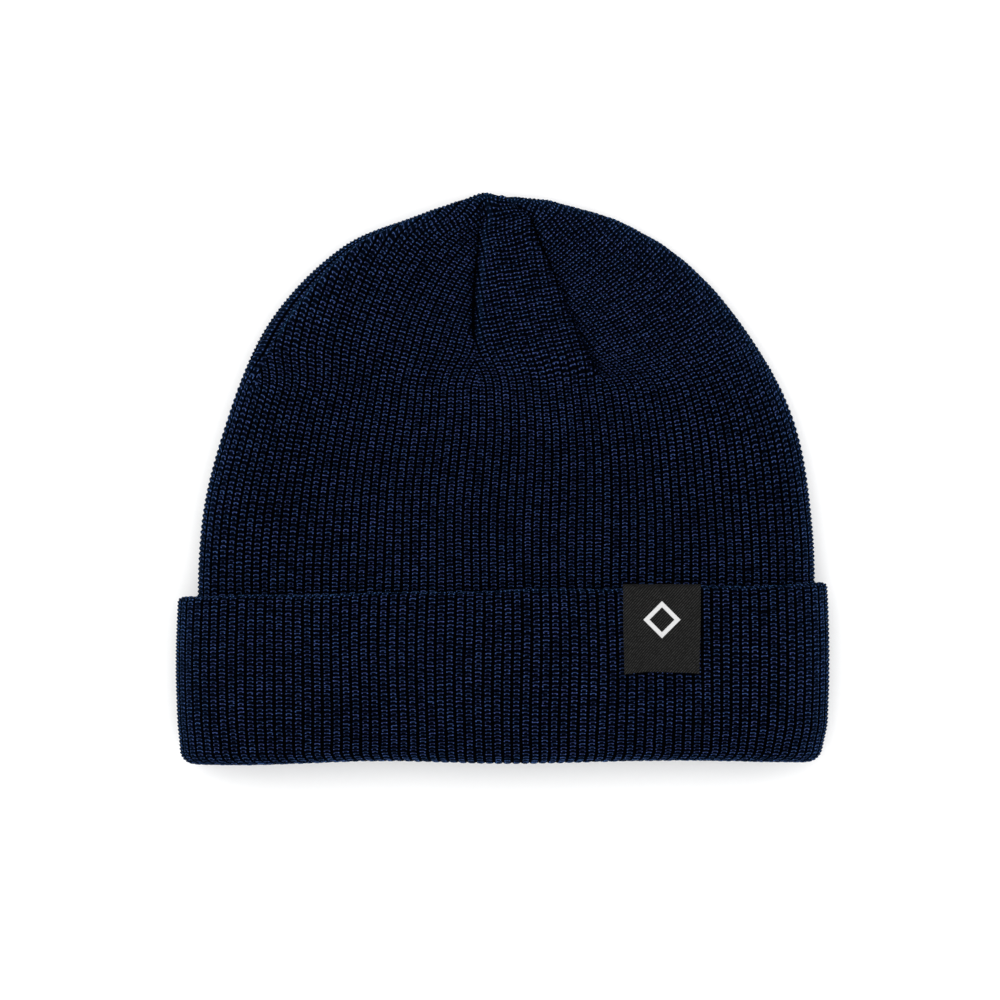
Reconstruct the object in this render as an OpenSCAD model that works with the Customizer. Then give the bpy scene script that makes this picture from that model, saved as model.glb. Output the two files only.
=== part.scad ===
// Cuffed rib-knit beanie, laid flat on its back.
// +Z is up, the crown points to +Y and the head opening to -Y.
// The origin is under the middle of the hat, on the surface it lies on.

/* [Cuff] */
// Width of the cuff, laid flat
cuff_w = 230; // [210:1:250]
// Height of the turned-up cuff
cuff_h = 62; // [50:1:75]
// Thickness of the cuff, laid flat, through both walls
cuff_thick = 30; // [29:0.5:36]
// How far the cuff's sides bow out between the hem and the top edge
cuff_bow = 0.8; // [0:0.1:1]

/* [Crown] */
// Height of the whole hat, from the hem to the tip
hat_h = 201; // [185:1:220]
// Greatest thickness of the crown, laid flat
crown_thick = 23; // [22:0.5:27]
// Roundness of the crown's outline, where 2 is an ellipse and more is squarer
crown_roundness = 2.1; // [1.9:0.05:2.4]
// Sideways lean of the crown at its middle
crown_lean = 2; // [-3:0.5:3]
// Height of the tip's middle above the surface
tip_rise = 5; // [3:0.5:7]

/* [Knit] */
// Thickness of one knitted ply
ply = 1.8; // [1.5:0.1:1.8]
// Thickness of the looped thread that closes a dart
seam_d = 0.9; // [0.6:0.1:1]

/* [Label] */
// Width of the folded label
label_w = 27; // [20:0.1:32]
// Height of the label's face
label_h = 30.8; // [22:0.1:36]
// Thickness of the label's tape
label_t = 0.7; // [0.5:0.05:0.8]
// Distance of the label's middle from the middle of the hat
label_x = 55.5; // [-60:0.1:60]
// Height of the diamond mark on the label
mark_h = 13; // [6:0.5:16]

/* [Hidden] */

KNIT = "#141a2c";
THREAD = "#1c2338";
TAPE = "#2b2b2b";
MARK = "#d8d8d4";

// Air between two plies of one wall, by the cuff and at the crown.
// The crown's gap holds the seam threads of both plies.
ply_gap = 0.3;
seam_gap = 2.2;
// Air between two solids that are sewn to each other
sewn_gap = 0.05;
// Air between the cuff and the crown's shell, which holds the label's tail
cuff_gap = 1.9;

// Depths of the plies under the cuff's outer face, in the order they lie
backing_in = ply + 0.2;
backing_end = backing_in + ply;
shell_in = backing_end + cuff_gap;
lip_in = shell_in + ply + ply_gap;
hem_t = lip_in + ply;

// Places along Y
hem_y = -hat_h / 2;
hem_r = hem_t / 2;
ply_end_y = hem_y + hem_r;
lip_end_y = ply_end_y + 6;
cuff_top_y = hem_y + cuff_h;
fold_r = backing_end / 2;
fold_depth = 5;
tip_y = hat_h / 2;

// Half sizes of the cuff's and the crown's cross-sections
cuff_half_w = cuff_w / 2 - cuff_bow;
cuff_half_t = cuff_thick / 2;
crown_half_w = cuff_half_w - shell_in;
crown_neck_t = cuff_half_t - shell_in;
crown_half_t = crown_thick / 2;
// Length, along X, of the rounded edge of a cross-section
edge_w = 32;
crown_edge_growth = 8;
edge_share = 0.8;

// The crown swells above the cuff and sinks to the surface within these angles
swell_end = 25;
settle_end = 28;
rest_gap = 0.3;

// Facets: points per quarter of an edge, rings of the crown, corners of a seam
EDGE_STEPS = 8;
CROWN_RINGS = 14;
LAST_ANGLE = 88;
SEAM_SIDES = 6;
ARC_STEPS = 8;
BOW_STEPS = 6;

// Where each dart lies round the crown: 0 to 1 is the front from left to right,
// and 1 to 2 is the back from right to left
DARTS = [0.02, 0.44, 0.68, 1.10, 1.34, 1.76];
LINING_DART_SHIFT = 0.12;
DART_FIRST_RING = 6;
DART_LAST_RING = 12;

function smooth(t) = let (c = max(0, min(1, t))) c * c * (3 - 2 * c);

// ---- One cross-section, a flat ring with rounded edges, in the plane y ----

function ring(half_w, half_t, edge, cx, y, cz) =
    [for (side = [1, -1]) for (i = [-EDGE_STEPS : EDGE_STEPS])
        let (a = i * 90 / EDGE_STEPS, flat = half_w - edge)
        [cx + side * (flat + edge * cos(a)), y, cz + side * half_t * sin(a)]];

// ---- The crown's form, by the angle from its widest line to its tip ----

// Height of the outline's curve, which the last ring cuts off at the tip
crown_h = (tip_y - cuff_top_y) / pow(sin(LAST_ANGLE), 2 / crown_roundness);

function crown_angle(i) = i * LAST_ANGLE / CROWN_RINGS;
function crown_w_at(a, inset) =
    (crown_half_w - inset) * pow(cos(a), 2 / crown_roundness);
function crown_y_at(a, inset) =
    cuff_top_y + (crown_h - inset) * pow(sin(a), 2 / crown_roundness);
function full_t(a) =
    crown_neck_t + (crown_half_t - crown_neck_t) * smooth(a / swell_end);
function crown_t_at(a, inset) = (full_t(a) - inset) * sqrt(cos(a));
function crown_z_at(a) =
    crown_t_at(a, 0) + rest_gap
    + (shell_in - rest_gap) * (1 - smooth(a / settle_end))
    + tip_rise * pow(1 - cos(a), 2);
function crown_x_at(a) = crown_lean * sin(2 * a) * smooth(a / swell_end);
function crown_edge_at(a, inset) =
    min(edge_w - shell_in - inset + crown_edge_growth * smooth(a / swell_end),
        edge_share * crown_w_at(a, inset));

function crown_ring(a, inset) =
    ring(crown_w_at(a, inset), crown_t_at(a, inset), crown_edge_at(a, inset),
         crown_x_at(a), crown_y_at(a, inset), crown_z_at(a));
function neck_ring(y, inset) =
    ring(crown_half_w - inset, crown_neck_t - inset,
         edge_w - shell_in - inset, 0, y, cuff_half_t);

// How far the lining lies under the shell's outer face
function lining_in(a) =
    ply + ply_gap + (seam_gap - ply_gap) * smooth(a / settle_end);

// A point inside the crown's wall: u is -1 to 1 from left to right
function wall_point(a, inset, u, side) =
    let (w = crown_w_at(a, inset), edge = crown_edge_at(a, inset),
         over = max(0, abs(u) * w - (w - edge)) / edge)
    [crown_x_at(a) + u * w, crown_y_at(a, inset),
     crown_z_at(a) + side * crown_t_at(a, inset) * sqrt(1 - over * over)];

// ---- Solids built from rings of equal length ----

function band(k, next, n) =
    [for (i = [0 : n - 1]) let (j = (i + 1) % n)
        each [[k * n + i, k * n + j, next * n + j],
              [k * n + i, next * n + j, next * n + i]]];
function cap(k, n) = [for (i = [0 : n - 1]) k * n + i];
function flipped(face) = [for (i = [len(face) - 1 : -1 : 0]) face[i]];
function all_points(rings) = [for (r = rings) each r];

// A ring-shaped solid: the rings go once round its wall
module hoop(rings) {
    n = len(rings[0]);
    count = len(rings);
    polyhedron(all_points(rings),
        [for (k = [0 : count - 1]) each band(k, (k + 1) % count, n)]);
}

// A cup-shaped solid: outer rings from mouth to tip, then inner ones back
module cup(outer, inner) {
    rings = concat(outer, [for (i = [len(inner) - 1 : -1 : 0]) inner[i]]);
    n = len(outer[0]);
    tip = len(outer) - 1;
    count = len(rings);
    polyhedron(all_points(rings), concat(
        [for (k = [0 : count - 1]) if (k != tip) each band(k, (k + 1) % count, n)],
        [cap(tip, n), flipped(cap(tip + 1, n))]));
}

// A thread along a path, with one radius for each of its points
module thread(path, radii) {
    last = len(path) - 1;
    rings = [for (i = [0 : last])
        let (t = path[min(last, i + 1)] - path[max(0, i - 1)],
             side = cross(t, [0, 0, 1]) / norm(cross(t, [0, 0, 1])),
             up = cross(side, t) / norm(cross(side, t)))
        [for (s = [0 : SEAM_SIDES - 1]) let (a = s * 360 / SEAM_SIDES)
            path[i] + radii[i] * (cos(a) * side + sin(a) * up)]];
    polyhedron(all_points(rings), concat(
        [for (k = [0 : last - 1]) each band(k, k + 1, SEAM_SIDES)],
        [cap(last, SEAM_SIDES), flipped(cap(0, SEAM_SIDES))]));
}

// ---- Crown ----

module crown_shell() {
    angles = [for (i = [0 : CROWN_RINGS]) crown_angle(i)];
    color(KNIT) cup(
        concat([neck_ring(ply_end_y, 0)], [for (a = angles) crown_ring(a, 0)]),
        concat([neck_ring(ply_end_y, ply)], [for (a = angles) crown_ring(a, ply)]));
}

module crown_lining() {
    angles = [for (i = [0 : CROWN_RINGS]) crown_angle(i)];
    start_y = lip_end_y + ply_gap;
    color(KNIT) cup(
        concat([neck_ring(start_y, lining_in(0))],
               [for (a = angles) crown_ring(a, lining_in(a))]),
        concat([neck_ring(start_y, lining_in(0) + ply)],
               [for (a = angles) crown_ring(a, lining_in(a) + ply)]));
}

// The thread of one dart, in the gap between the shell and the lining.
// It thins towards the tip, where the plies close up.
module seam_at(place, inset) {
    u = place < 1 ? 2 * place - 1 : 3 - 2 * place;
    side = place < 1 ? 1 : -1;
    angles = [for (i = [DART_FIRST_RING : DART_LAST_RING]) crown_angle(i)];
    color(THREAD) thread(
        [for (a = angles) wall_point(a, inset, u, side)],
        [for (a = angles) seam_d / 2 * sqrt(cos(a))]);
}

module dart_seam(index) {
    seam_at(DARTS[index], ply + ply_gap / 2 + seam_d / 2);
}

module lining_dart_seams() {
    for (place = DARTS)
        seam_at(place + LINING_DART_SHIFT, ply + seam_gap - ply_gap / 2 - seam_d / 2);
}

// Three short threads that tie the lining's tip to the shell's
module crown_tack() {
    tack_r = 0.35;
    spacing = 1.2;
    a = LAST_ANGLE;
    from_y = crown_y_at(a, lining_in(a)) + sewn_gap;
    to_y = crown_y_at(a, ply) - sewn_gap;
    color(THREAD) for (i = [-1 : 1])
        translate([crown_x_at(a) + i * spacing, from_y, crown_z_at(a)])
            rotate([-90, 0, 0])
                cylinder(h = to_y - from_y, r = tack_r, $fn = 24);
}

// ---- Cuff ----

// The sides are straight up to the lip's end, where the lip runs inside the crown
function bow_at(y) =
    cuff_bow * sin(180 * max(0, y - lip_end_y) / (cuff_top_y - lip_end_y));
function cuff_ring(inset, y) =
    ring(cuff_half_w + bow_at(y) - inset, cuff_half_t - inset, edge_w - inset,
         0, y, cuff_half_t);

// An arc of wall points, as [inset, y], from angle a to angle b
function wall_arc(cx, cy, r, a, b) =
    [for (i = [0 : ARC_STEPS]) let (t = a + (b - a) * i / ARC_STEPS)
        [cx + r * cos(t), cy + r * sin(t)]];
function wall_line(inset, y0, y1) =
    [for (i = [1 : BOW_STEPS - 1]) [inset, y0 + (y1 - y0) * i / BOW_STEPS]];

// The face turns over the top edge, and round the hem into the head opening
module cuff_face() {
    fold_y = cuff_top_y - fold_r;
    fold_end_y = cuff_top_y - fold_depth;
    wall = concat(
        [[lip_in, lip_end_y], [hem_t, lip_end_y]],
        wall_arc(hem_r, ply_end_y, hem_r, 0, -180),
        wall_line(0, ply_end_y, fold_y),
        wall_arc(fold_r, fold_y, fold_r, 180, 0),
        [[backing_end, fold_end_y], [ply, fold_end_y]],
        wall_line(ply, fold_end_y, ply_end_y),
        wall_arc(hem_r, ply_end_y, hem_r - ply, -180, 0));
    color(KNIT) hoop([for (p = wall) cuff_ring(p[0], p[1])]);
}

module cuff_backing() {
    start_y = cuff_top_y - fold_depth - ply_gap;
    wall = concat(
        [[backing_in, ply_end_y]],
        wall_line(backing_in, ply_end_y, start_y),
        [[backing_in, start_y], [backing_end, start_y]],
        wall_line(backing_end, start_y, ply_end_y),
        [[backing_end, ply_end_y]]);
    color(KNIT) hoop([for (p = wall) cuff_ring(p[0], p[1])]);
}

// ---- Label ----

label_tail = 14;
bend_r = fold_r + sewn_gap;
bend_y = cuff_top_y - fold_r;
bend_z = cuff_thick - fold_r;
face_z = bend_z + bend_r + label_t;
tail_z = bend_z - bend_r - label_t;
label_end_y = bend_y + bend_r + label_t - label_h;

// The tape hooks over the cuff's top edge: its face in front, its tail behind
module label() {
    hook = concat(
        [[label_end_y, face_z]],
        wall_arc(bend_y, bend_z, bend_r + label_t, 90, -90),
        [[cuff_top_y - label_tail, tail_z],
         [cuff_top_y - label_tail, tail_z + label_t]],
        wall_arc(bend_y, bend_z, bend_r, -90, 90),
        [[label_end_y, face_z - label_t]]);
    color(TAPE) translate([label_x - label_w / 2, 0, 0])
        rotate([90, 0, 90])
            linear_extrude(label_w) polygon(hook);
}

// A plain open diamond
module label_mark() {
    mark_t = 0.2;
    line_w = 2.2;
    middle_share = 0.6;
    color(MARK) translate([label_x, label_end_y + label_h * middle_share, face_z + sewn_gap])
        linear_extrude(mark_t) difference() {
            circle(d = mark_h, $fn = 4);
            circle(d = mark_h - 2 * line_w, $fn = 4);
        }
}

// A row of stitches on the tail, which hold the label to the cuff
module label_stitches() {
    stitch_d = 0.4;
    stitch_l = 2.2;
    count = 7;
    pitch = (label_w - 2 * stitch_l) / (count - 1);
    row_y = cuff_top_y - label_tail * 0.7;
    color(THREAD) for (i = [0 : count - 1])
        translate([label_x - label_w / 2 + stitch_l / 2 + i * pitch, row_y,
                   tail_z - sewn_gap - stitch_d / 2])
            rotate([0, 90, 0])
                cylinder(h = stitch_l, d = stitch_d, $fn = 16);
}

crown_shell();
crown_lining();
dart_seam(0);  // dart_seam_left
dart_seam(1);  // dart_seam_centre
dart_seam(2);  // dart_seam_right
dart_seam(3);  // dart_seam_back_right
dart_seam(4);  // dart_seam_back_centre
dart_seam(5);  // dart_seam_back_left
lining_dart_seams();
crown_tack();
cuff_face();
cuff_backing();
label();
label_mark();
label_stitches();
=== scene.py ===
"""A dark navy, fine rib-knit beanie with a turned-up cuff, laid flat on its back.

The knit is made of grids whose columns run round the hat and whose rows run from the hem
to the tip. Every point knows its place in the fabric, as a wale (a column of stitches)
and a course (a row of stitches), and the relief of the ribs and stitches and all the
colours follow from that.
"""

import math

import bpy
import numpy as np
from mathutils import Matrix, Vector


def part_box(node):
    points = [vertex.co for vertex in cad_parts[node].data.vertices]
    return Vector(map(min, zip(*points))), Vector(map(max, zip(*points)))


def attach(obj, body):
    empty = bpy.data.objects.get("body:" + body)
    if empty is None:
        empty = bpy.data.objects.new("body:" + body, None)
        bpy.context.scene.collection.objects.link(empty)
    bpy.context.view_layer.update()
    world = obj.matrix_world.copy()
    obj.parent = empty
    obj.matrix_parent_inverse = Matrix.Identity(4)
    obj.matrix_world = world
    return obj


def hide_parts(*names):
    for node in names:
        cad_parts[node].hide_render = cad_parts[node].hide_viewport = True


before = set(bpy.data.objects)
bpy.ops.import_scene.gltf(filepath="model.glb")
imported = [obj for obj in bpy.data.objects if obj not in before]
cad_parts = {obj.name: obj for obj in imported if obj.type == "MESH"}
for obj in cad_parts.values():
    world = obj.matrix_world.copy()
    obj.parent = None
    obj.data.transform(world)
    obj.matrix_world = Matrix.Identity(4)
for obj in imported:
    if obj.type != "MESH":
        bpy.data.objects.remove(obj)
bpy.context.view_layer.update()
MM = 0.001

# ---- Sizes from the frame ----


def box_of(node):
    """The low and the high corner of a CAD node's box."""
    return (np.array(corner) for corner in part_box(node))


SHELL_LOW, SHELL_HIGH = box_of("crown_shell")
LINING_LOW, _ = box_of("crown_lining")
CUFF_LOW, CUFF_HIGH = box_of("cuff_face")
BACKING_LOW, BACKING_HIGH = box_of("cuff_backing")
LABEL_LOW, LABEL_HIGH = box_of("label")
MARK_LOW, MARK_HIGH = box_of("label_mark")

TIP_Y = SHELL_HIGH[1]
BASE_Y = CUFF_HIGH[1]
HEM_Y = CUFF_LOW[1]
NECK_Y = SHELL_LOW[1]
NECK_Z = (CUFF_LOW[2] + CUFF_HIGH[2]) / 2
SHELL_HALF_W = (SHELL_HIGH[0] - SHELL_LOW[0]) / 2
NECK_T = SHELL_HIGH[2] - NECK_Z
CUFF_HALF_W = (CUFF_HIGH[0] - CUFF_LOW[0]) / 2
CUFF_HALF_T = (CUFF_HIGH[2] - CUFF_LOW[2]) / 2
HEM_R = BACKING_LOW[1] - HEM_Y

# ---- Sizes of the knit ----

PLY = 1.8 * MM
RIBS = 146  # wales round the hat
FIRST_WALE = 0.5  # the folds of the flat hat run along the middle of a wale
RIB_STEPS = 6  # mesh columns in a wale
COURSE = 1.4 * MM
CROWN_COURSE = 1.26 * MM
GORE_COURSE = 1.52 * MM  # the courses stand further apart between the darts
GORE_SPREAD = 1.07  # and so do the wales
COURSE_STEPS = 3  # mesh rows in a course
RIB_DEPTH = 0.55 * MM
STITCH_DEPTH = 0.3 * MM
STITCH_START = 0.3  # share of a course before its bump rises
WALE_SHIFT = 0.7  # the most that a wale's stitches are moved along it, in courses
IN_STEP = (1, 3)  # wales beside a fold that aren't moved, and those that are moved less
LINED_UP = 0.5  # share of the shift that is lost over the crown
COLUMNS = RIBS * RIB_STEPS
HIDDEN_STEPS = 3  # mesh columns in a wale, and rows in a course, of the plies inside

# ---- Plies of the crown: depths under its outer face, at the neck and over the crown ----

OUTSIDE = (0.0, 0.0)
SHELL_BACK = (PLY, PLY + 0.6 * MM)
LINING_FRONT = (2.1 * MM, 4.0 * MM)
LINING_BACK = (LINING_FRONT[0] + PLY, LINING_FRONT[1] + PLY)

# ---- Wall of the cuff ----

HEM_FOLD_LESS = 0.4  # share by which its hem and top edge are less lit than its sides
PLY_GAP = 0.3 * MM
CUFF_BOW = 0.8 * MM
PLY_END_Y = BACKING_LOW[1]
LIP_END_Y = LINING_LOW[1] - PLY_GAP
FOLD_R = (CUFF_HIGH[2] - BACKING_HIGH[2] + PLY) / 2
FOLD_Y = BASE_Y - FOLD_R
FOLD_END_Y = BACKING_HIGH[1] + PLY_GAP

# ---- Threads ----

SEAM_NAMES = ("left", "centre", "right", "back_right", "back_centre", "back_left")
SEAM_R = 0.42 * MM
SEAM_SWAY = 0.3 * MM
SEAM_STITCH = 3 * MM
SEAM_LAY = 1.6 * MM
SHELL_SEAM_DEPTH = 2.95 * MM
LINING_SEAM_DEPTH = 3.2 * MM
LINING_DART_SHIFT = 0.12
SEAM_LOW, SEAM_HIGH = box_of("dart_seam_centre")
SEAM_POINTS = 220
TACK_PARTS = (0.15, 0.5, 0.85)  # places of the tack's threads across its width
TACK_POINTS = 24
TACK_BOW = 0.1 * MM
TAIL_STITCHES = 7
TAIL_STITCH = 2.2 * MM
TAIL_POINTS = 20
TAIL_LAY = 1.2 * MM

# ---- Label ----

TAPE_T = 0.7 * MM
TAPE_STEP = 0.19 * MM
LABEL_TAIL_Y = BASE_Y - 14 * MM
TWILL_PITCH = 1.0 * MM
TWILL_RISE = 1.1 * MM
TWILL_DEPTH = 0.12 * MM
TAPE_PICK = 0.22 * MM
CUT_END = 12 * MM  # length over which the label's cut end is uneven
CORNER_DROP = 0.75 * MM
CUT_WAVE = 0.1 * MM
END_NARROWS = 0.45 * MM
CORNER_DIP = 0.3 * MM
MARK_LINE = 2.2 * MM
SATIN_STEP = 0.07 * MM
SATIN_SAMPLES = 5  # in one thread
SATIN_EDGE = 0.04  # depth of the grooves between threads, as a share of the half line
SATIN_DEPTH = 0.25  # and as a share of the mark's height
# Half of the line's section, as shares of its half width and of its height.
SATIN_SECTION = [(-1, 0), (-1, 0.45), (-0.8, 0.8), (-0.4, 0.97), (0, 1)]

# ---- Form of the crown ----

PEAK = 1.0 * MM  # height under the tip that is left to the little peak on the outline
CROWN_H = TIP_Y - PEAK - BASE_Y
ROUNDNESS = 2.15
CROWN_T = 11.5 * MM
EDGE = 32 * MM  # length, along X, of the cuff's rounded edges
NECK_EDGE = EDGE - (CUFF_HALF_W - SHELL_HALF_W)
EDGE_GROWTH = 8 * MM
MOST_EDGE = 0.8  # share of a cross-section's half width
REST_GAP = 0.6 * MM
TIP_RISE = 5 * MM
LAST_ANGLE = math.radians(88)
WALL_ANGLES = np.linspace(0, LAST_ANGLE, 16)  # rings of a ply's plain side
WALL_FINE = np.linspace(0, LAST_ANGLE, 500)  # to look up the angle of a seam's point
SWELL_DEGREES = 25  # the crown thickens from its neck over this much of its curve
SETTLE_DEGREES = 28  # and over this much it comes down to rest, and its plies part

# Where the outline leaves its plain curve: the share of its width, and where up the curve
# that starts and how long it takes, in degrees.
SHOULDER = (-0.12, 60, 18)
TIP_WIDENING = (0.44, 78, 11)

# How the crown leans to the right: all along, and more in two places, as bumps along Y.
LEAN = 1.3 * MM
LEAN_BEGINS = (-12.6 * MM, 14 * MM)  # start over the cuff's top edge, and length
LEAN_FADE = (0.6, 32 * MM, 25 * MM)  # share lost higher up, start and length
LEAN_PLACES = [(1.4 * MM, 20 * MM, 24 * MM), (2.2 * MM, 92.3 * MM, 4 * MM)]

# The peak at the tip, as bumps along X.
PEAK_START = (-9 * MM, 7 * MM)  # start over the tip, and length
PEAK_PARTS = [
    (1.45 * PEAK, -6.5 * MM, 4.5 * MM),
    (-0.4 * MM, -2 * MM, 1.8 * MM),
    (0.85 * MM, 0, 6 * MM),
]

# How close the ribs are drawn together over the crown, by place round it.
TIGHT_PLACES = (0, 0.36, 0.48, 1.1, 1.6, 2)
TIGHT_SHARES = (0.5, 0.5, 1, 1, 0.8, 0.5)
TIGHTENS = (5 * MM, 55 * MM)  # the Y where that starts, and its length
TIGHT_FILLS = 0.5  # share by which it makes the gaps between the ribs shallower

# Slow swells of the crown's and the cuff's fronts.
WAVES = 0.45 * MM
CUFF_WAVES = 0.2 * MM

# The cuff's unevenness: its top edge's slope and wave, its hem's lift, as bumps along X, and
# how far its corners pull in.
TOP_TILT = 0.0205
TOP_WAVE = (0.25 * MM, 8 * MM)  # height and length
TOP_FROM, TOP_UNTIL = (-40 * MM, 36 * MM), (5.2 * MM, 26 * MM)  # starts over the edge, lengths
HEM_LENGTH = 16 * MM
HEM_LIFTS = [(1.8 * MM, 62 * MM, 52 * MM), (1.6 * MM, -42 * MM, 32 * MM)]
HEM_LIFT = 0.5 * MM
RIGHT_PULL, LEFT_PULL = 2.2 * MM, 0.9 * MM
CORNER = (60 * MM, 45 * MM)  # start and length
SWAY = 0.25 * MM  # of the wales, inside the outline and below the crown

# The darts, by place round the crown: 0 to 1 is the front, from left to right, and 1 to 2
# is the back. Each has its place, the Y where it ends, and its depth.
FRONT_MIDDLE, BACK_MIDDLE = 0.5, 1.5
CENTRE_DART, RIGHT_DART = 0.445, 0.667
DARTS = [
    (0.047, 47 * MM, 0.8 * MM),
    (CENTRE_DART, 45 * MM, 2.4 * MM),
    (RIGHT_DART, 33 * MM, 2.4 * MM),
    (1.10, 44 * MM, 1.3 * MM),
    (1.34, 40 * MM, 1.5 * MM),
    (1.76, 42 * MM, 1.5 * MM),
]
GORE_START_Y = 38 * MM
GORE_BLEND = 8 * MM
DART_WIDTH = 1.5 * MM
DART_SHAPE = 1.5  # power of the curve of its cross-section
MAX_LEAN = 1.1  # tangent of the steepest lean of a wale
LEAN_ROWS = 12  # rows on each side over which the lean is evened out
LEAN_WEIGHTS = np.full(2 * LEAN_ROWS + 1, 1 / (2 * LEAN_ROWS + 1))
LEFT_PLAIN = (1.84, 0.1)  # from here to the left dart the wales come to follow the outline
LEFT_SPREAD = 0.45  # how much the wales are spread there, as a share of their width
DART_START = 7 * MM  # length over which a dart deepens
DART_LENGTH = 50 * MM  # length over which it grows shallow again
DART_FADE = 0.35  # share by which it does
DEEPEST_DART = max(depth for _, _, depth in DARTS)
DART_END_DIP = (0.5, 4 * MM, 2.2 * MM)  # share of the depth, length and width
DART_FLATTENS = 0.6  # share of the knit's relief that is lost in a dart
DART_REACH = 1.2  # how far the painted shade beside a dart reaches, in widths of the dart

# How the front darts bend left to the tip: the dart, how far round, the Y where that starts,
# its length and the power it grows with, and the part of the way round that goes along.
BENDS = [
    (RIGHT_DART, 0.055, 34 * MM, 48 * MM, 1, 0.22),
    (CENTRE_DART, 0.1, 80 * MM, 17 * MM, 2, 0.2),
]
MAX_SAG = 50 * MM

# Soft ridges beside the darts: the dart's index, the middle, the width, and the height or,
# for their painted highlight, the share of the painted sheen at a fold.
RIDGES = [(0, 2.2 * MM, 1.8 * MM, 0.5 * MM), (1, 2.4 * MM, 1.3 * MM, 0.4 * MM)]
RIDGE_LIGHTS = [(0, 0.9 * MM, 0.8 * MM, 1.0), (1, 2.4 * MM, 1.2 * MM, 0.3)]


def smooth(t):
    """0 below 0, 1 above 1, and a smooth step between them."""
    t = np.clip(t, 0, 1)
    return t * t * (3 - 2 * t)


def rise(x, start, length):
    """A smooth step from 0 to 1, by where it starts and its length."""
    return smooth((x - start) / length)


def bump(x, middle, width):
    """A bell curve of x."""
    return np.exp(-(((x - middle) / width) ** 2))


def bumps(x, parts):
    """A sum of bell curves, from the height, middle and width of each."""
    return sum(height * bump(x, middle, width) for height, middle, width in parts)


def total(steps):
    """The sum of the steps before each point, from 0."""
    return np.concatenate([[0], np.cumsum(steps)])


def run_along(path):
    """Length along a path from its start to each point."""
    return total(np.linalg.norm(np.diff(path, axis=0), axis=1))


# ---- Rings ----


class Rings:
    """The hat's cross-sections, one for each row: flat rings with rounded edges."""

    ARC_POINTS = 33

    def __init__(self, half_w, half_t, edge, cx, y, cz):
        rows = (np.asarray(v, float) for v in (half_w, half_t, edge, cx, y, cz))
        self.rows = np.array(np.broadcast_arrays(*rows))
        self.half_w, self.half_t, self.edge, self.cx, self.y, self.cz = self.rows
        self.flat = self.half_w - self.edge
        angle = np.linspace(0, math.pi / 2, self.ARC_POINTS)
        self.angle = angle
        arc_x = self.edge[:, None] * np.cos(angle)
        arc_z = self.half_t[:, None] * np.sin(angle)
        steps = np.hypot(np.diff(arc_x, axis=1), np.diff(arc_z, axis=1))
        self.arc = np.pad(np.cumsum(steps, axis=1), [(0, 0), (1, 0)])
        self.quarter = self.arc[:, -1] + self.flat

    def points(self, places):
        """Points at each row's places round its ring, by length: 0.5 is the front's middle."""
        places = np.mod(places, 2)
        out = np.empty(places.shape + (3,))
        for i, place in enumerate(places):
            front = place <= 1
            along = np.where(front, place, 2 - place)
            run = np.minimum(along, 1 - along) * 2 * self.quarter[i]
            past_arc = run - self.arc[i, -1]
            angle = np.interp(run, self.arc[i], self.angle)
            x = self.flat[i] + np.where(past_arc < 0, self.edge[i] * np.cos(angle), -past_arc)
            z = self.half_t[i] * np.sin(angle)
            out[i, :, 0] = self.cx[i] + np.where(along < 0.5, -x, x)
            out[i, :, 1] = self.y[i]
            out[i, :, 2] = self.cz[i] + np.where(front, z, -z)
        return out


# ---- The crown's form, by the angle from its widest line to its tip ----


def crown_half_w(angle, inset=0.0):
    taper = 1.0
    for share, start, length in (SHOULDER, TIP_WIDENING):
        taper = taper + share * rise(np.degrees(angle), start, length)
    return (SHELL_HALF_W - inset) * np.cos(angle) ** (2 / ROUNDNESS) * taper


def crown_y(angle, inset=0.0):
    return BASE_Y + (CROWN_H - inset) * np.sin(angle) ** (2 / ROUNDNESS)


def crown_half_t(angle, inset=0.0):
    swell = rise(np.degrees(angle), 0, SWELL_DEGREES)
    return (NECK_T + (CROWN_T - NECK_T) * swell - inset) * np.sqrt(np.cos(angle))


def crown_middle_z(angle):
    settled = 1 - rise(np.degrees(angle), 0, SETTLE_DEGREES)
    neck_gap = NECK_Z - NECK_T - REST_GAP
    return crown_half_t(angle) + REST_GAP + neck_gap * settled + TIP_RISE * (1 - np.cos(angle)) ** 2


def crown_middle_x(y):
    """How far the crown leans to the right at each Y."""
    share, *fade = LEAN_FADE
    lean = LEAN * rise(y - BASE_Y, *LEAN_BEGINS) * (1 - share * rise(y, *fade))
    return lean + bumps(y, LEAN_PLACES)


def crown_edge(angle, inset=0.0):
    """Length of a cross-section's rounded edge."""
    swell = EDGE_GROWTH * rise(np.degrees(angle), 0, SWELL_DEGREES)
    return np.minimum(NECK_EDGE - inset + swell, MOST_EDGE * crown_half_w(angle, inset))


def crown_rings(angle, inset=0.0):
    y = crown_y(angle, inset)
    half_w, half_t = crown_half_w(angle, inset), crown_half_t(angle, inset)
    edge = crown_edge(angle, inset)
    return Rings(half_w, half_t, edge, crown_middle_x(y), y, crown_middle_z(angle))


def even_angles(step):
    """Angles that put the crown's rings a step apart, along its front or its outline."""
    fine = np.linspace(0, LAST_ANGLE, 2000)
    along_y = np.diff(crown_y(fine))
    along_front = np.hypot(along_y, np.diff(crown_middle_z(fine) + crown_half_t(fine)))
    along_outline = np.hypot(along_y, np.diff(crown_half_w(fine)))
    run = total(np.maximum(along_front, along_outline))
    count = max(2, round(run[-1] / step))
    return np.interp(np.linspace(0, run[-1], count + 1), run, fine)


def neck_rings(y, inset=0.0):
    half_w, half_t, edge = (size - inset for size in (SHELL_HALF_W, NECK_T, NECK_EDGE))
    return Rings(half_w, half_t, edge, crown_middle_x(np.asarray(y)), y, NECK_Z)


def stack(*parts):
    """One set of rings from several, in order."""
    return Rings(*np.concatenate([part.rows for part in parts], axis=1))


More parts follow.
